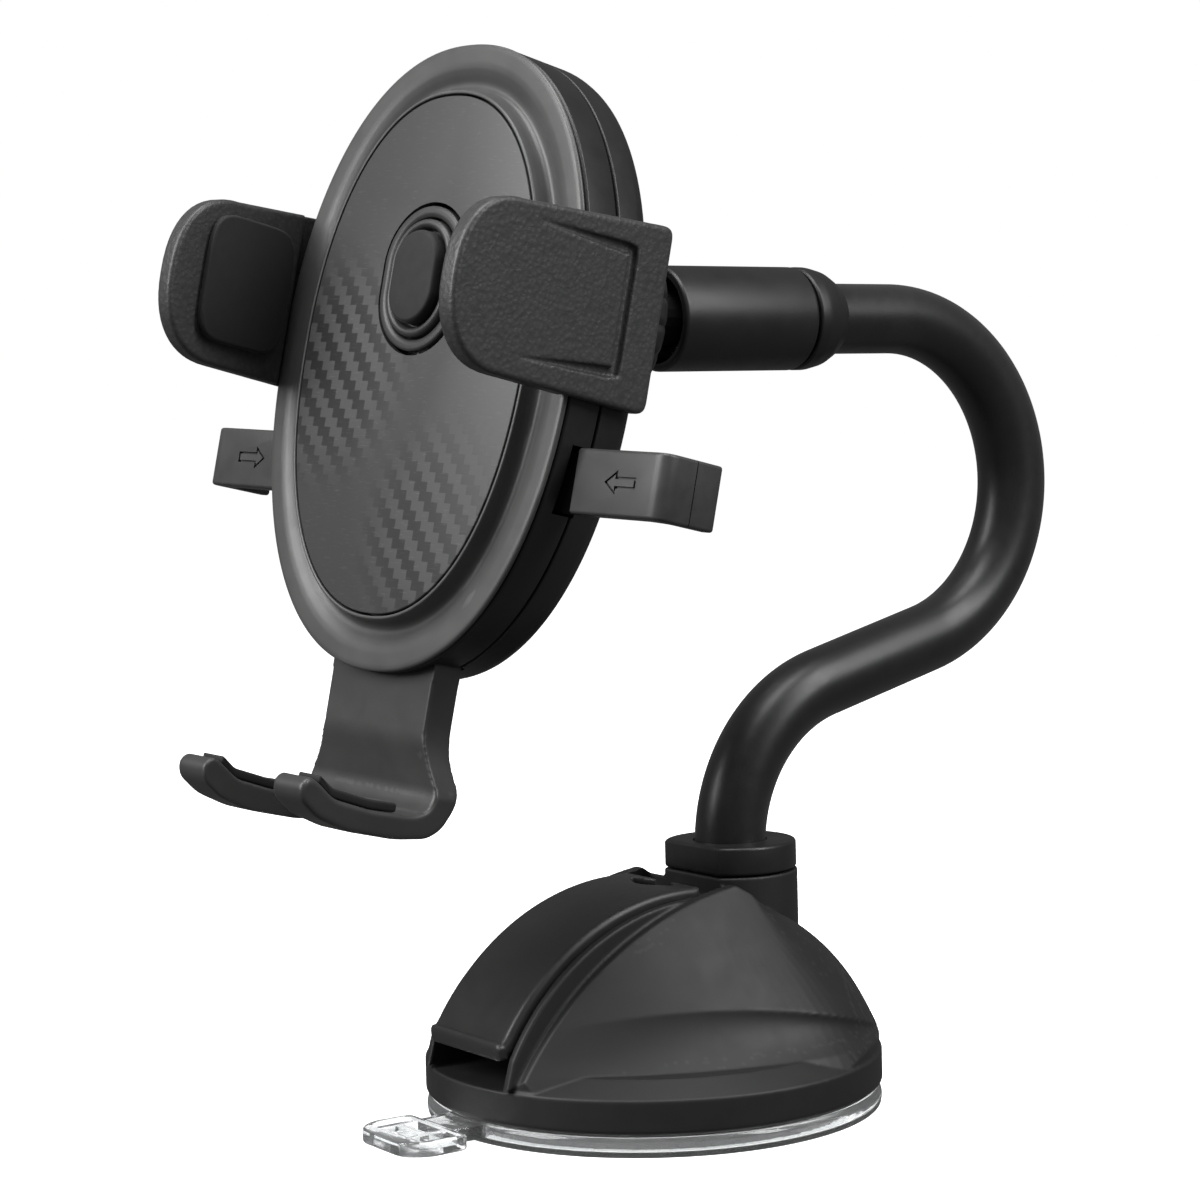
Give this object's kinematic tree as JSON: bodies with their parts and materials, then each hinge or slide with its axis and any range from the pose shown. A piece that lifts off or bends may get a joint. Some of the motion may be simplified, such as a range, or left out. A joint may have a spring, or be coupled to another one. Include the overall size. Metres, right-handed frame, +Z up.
{
  "type": "suction-mounted phone holder",
  "caption": "Phone holder with a lever-locked suction base, a flexible gooseneck, a ball joint and an oval cradle with sliding side clamps and a hooked foot.",
  "frame": {"origin": "centre of the suction cup, on the surface the mount stands on", "axes": "+Z up, away from the surface; -Y towards the lock lever's lip and the user; +X to the right as seen by the user facing +Y"},
  "size_m": [0.1109, 0.1741, 0.1767],
  "materials": {
    "black_abs": "fine satin moulded black plastic",
    "grey_abs": "satin charcoal plastic, leather grain on the wings",
    "carbon_film": "woven twill relief film, satin",
    "black_rubber": "matte soft black rubber",
    "clear_tpu": "clear soft suction-cup plastic",
    "white_nylon": "natural nylon",
    "steel": "bright zinc-plated steel"
  },
  "bodies": {
    "base": {"base_housing": "black_abs", "base_plate": "black_abs", "suction_cup": "clear_tpu", "cup_spring": "steel", "lever_pin": "steel", "neck_collar": "black_abs", "neck_sleeve_1": "black_rubber", "neck_core_1": "steel", "base_screw_1": "steel", "base_screw_2": "steel", "base_screw_3": "steel", "base_screw_4": "steel"},
    "lever": {"lock_lever": "grey_abs", "lever_cam": "black_abs"},
    "stem": {"cup_stem": "white_nylon"},
    "neck_2": {"neck_sleeve_2": "black_rubber", "neck_core_2": "steel"},
    "neck_3": {"neck_sleeve_3": "black_rubber", "neck_core_3": "steel"},
    "neck_4": {"neck_sleeve_4": "black_rubber", "neck_core_4": "steel"},
    "neck_5": {"neck_sleeve_5": "black_rubber", "neck_core_5": "steel", "neck_end_nut": "black_abs", "joint_sleeve": "black_abs", "ball_stem": "black_abs", "joint_ball": "black_abs"},
    "liner": {"ball_liner": "white_nylon"},
    "nut": {"ball_nut": "black_abs"},
    "cradle": {"ball_socket": "black_abs", "rear_shell": "black_abs", "mid_frame": "black_abs", "front_bezel": "grey_abs", "face_plate": "carbon_film", "trigger_ring": "grey_abs", "trigger_spring": "steel", "pinion_pin": "steel", "latch_pin": "steel", "arm_spring": "steel", "foot_spring": "steel", "rear_screw_1": "steel", "rear_screw_2": "steel", "rear_screw_3": "steel", "rear_screw_4": "steel"},
    "arm_right": {"slider_right": "black_abs", "wing_right": "grey_abs", "wing_pad_right": "black_rubber", "release_lever_left": "grey_abs"},
    "arm_left": {"slider_left": "black_abs", "wing_left": "grey_abs", "wing_pad_left": "black_rubber", "release_lever_right": "grey_abs"},
    "pinion": {"pinion": "white_nylon"},
    "trigger": {"trigger_button": "grey_abs", "trigger_pad": "black_rubber"},
    "latch": {"latch_rocker": "white_nylon"},
    "foot": {"foot": "grey_abs", "foot_pad_right": "black_rubber", "foot_pad_left": "black_rubber"}
  },
  "joints": [
    {"name": "lever_lift", "type": "hinge", "parent": "base", "child": "lever", "pos_m": [0, 0.002, 0.0305], "axis": [-1, 0, 0], "range_deg": [0, 50]},
    {"name": "stem_slide", "type": "slide", "parent": "base", "child": "stem", "axis": [0, 0, -1], "range_m": [0, 0.0016], "deforming": ["cup_spring", "suction_cup"]},
    {"name": "neck_bend_1", "type": "hinge", "parent": "base", "child": "neck_2", "pos_m": [0, 0.02093, 0.05542], "axis": [1, 0, 0], "range_deg": [-10, 15]},
    {"name": "neck_bend_2", "type": "hinge", "parent": "neck_2", "child": "neck_3", "pos_m": [0, 0.05118, 0.07239], "axis": [0, -0.2504, 0.9681], "range_deg": [-25, 25]},
    {"name": "neck_bend_3", "type": "hinge", "parent": "neck_3", "child": "neck_4", "pos_m": [0, 0.0822, 0.09142], "axis": [-1, 0, 0], "range_deg": [-8, 20]},
    {"name": "neck_bend_4", "type": "hinge", "parent": "neck_4", "child": "neck_5", "pos_m": [0, 0.075, 0.12611], "axis": [-1, 0, 0], "range_deg": [-4, 20]},
    {"name": "ball_pan", "type": "hinge", "parent": "neck_5", "child": "liner", "pos_m": [0, -0.014, 0.13348], "axis": [0, 0, -1], "range_deg": [-12, 30]},
    {"name": "ball_tilt", "type": "hinge", "parent": "liner", "child": "nut", "pos_m": [0, -0.014, 0.13348], "axis": [-0.986, -0.1668, 0], "range_deg": [-11, 18]},
    {"name": "ball_spin", "type": "hinge", "parent": "nut", "child": "cradle", "pos_m": [0, -0.014, 0.13348], "axis": [0.1632, -0.9652, 0.2045], "continuous": true},
    {"name": "arm_right_slide", "type": "slide", "parent": "cradle", "child": "arm_right", "axis": [0.9864, 0.156, -0.0512], "range_m": [0, 0.0165], "deforming": ["arm_spring"]},
    {"name": "arm_left_slide", "type": "slide", "parent": "cradle", "child": "arm_left", "axis": [-0.9864, -0.156, 0.0512], "range_m": [0, 0.0165]},
    {"name": "pinion_turn", "type": "hinge", "parent": "cradle", "child": "pinion", "pos_m": [0.00369, -0.04131, 0.12143], "axis": [-0.1632, 0.9652, -0.2045], "range_deg": [0, 158]},
    {"name": "trigger_press", "type": "slide", "parent": "cradle", "child": "trigger", "axis": [-0.1632, 0.9652, -0.2045], "range_m": [0, 0.0022], "stiffness_N_per_m": 500, "springref_m": -0.001, "deforming": ["trigger_spring"]},
    {"name": "latch_rock", "type": "hinge", "parent": "cradle", "child": "latch", "pos_m": [0.00429, -0.0458, 0.11932], "axis": [-0.9864, -0.156, 0.0512], "range_deg": [0, 12]},
    {"name": "foot_slide", "type": "slide", "parent": "cradle", "child": "foot", "axis": [-0.0175, -0.2101, -0.9775], "range_m": [-0.008, 0.01]}
  ],
  "couplings": [
    {"joint": "stem_slide", "follows": "lever_lift", "m_per_rad": 0.001832},
    {"joint": "arm_left_slide", "follows": "arm_right_slide", "ratio": 1},
    {"joint": "pinion_turn", "follows": "arm_right_slide", "rad_per_m": 166.67},
    {"joint": "latch_rock", "follows": "trigger_press", "rad_per_m": 94}
  ]
}
